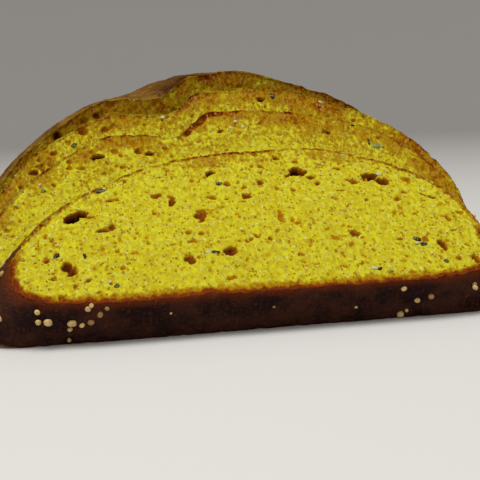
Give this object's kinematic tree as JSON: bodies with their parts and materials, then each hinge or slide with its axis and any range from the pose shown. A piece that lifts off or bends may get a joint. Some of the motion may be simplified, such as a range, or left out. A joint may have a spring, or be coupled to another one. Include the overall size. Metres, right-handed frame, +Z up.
{
  "type": "gluten-free sourdough loaf",
  "caption": "Round loaf of yellow gluten-free sourdough, cut from the front, its slices leaning back in a row against the uncut rest.",
  "frame": {"origin": "middle of the footprint of the slices and the loaf, on the surface that they stand on", "axes": "+X across the slices, +Y from the front slice to the rounded back of the loaf, +Z up"},
  "size_m": [0.2032, 0.2576, 0.082],
  "materials": {
    "crumb": "matt, open-pored yellow bread crumb with a thin browned rim",
    "crust": "matt, rough baked crust, golden brown on top and nearly black below",
    "grain": "dull pale whole grains and cracked seeds"
  },
  "bodies": {
    "root": {"slice_front": "crumb", "slice_middle": "crumb", "slice_back": "crumb", "loaf_rest": "crust"}
  },
  "joints": []
}
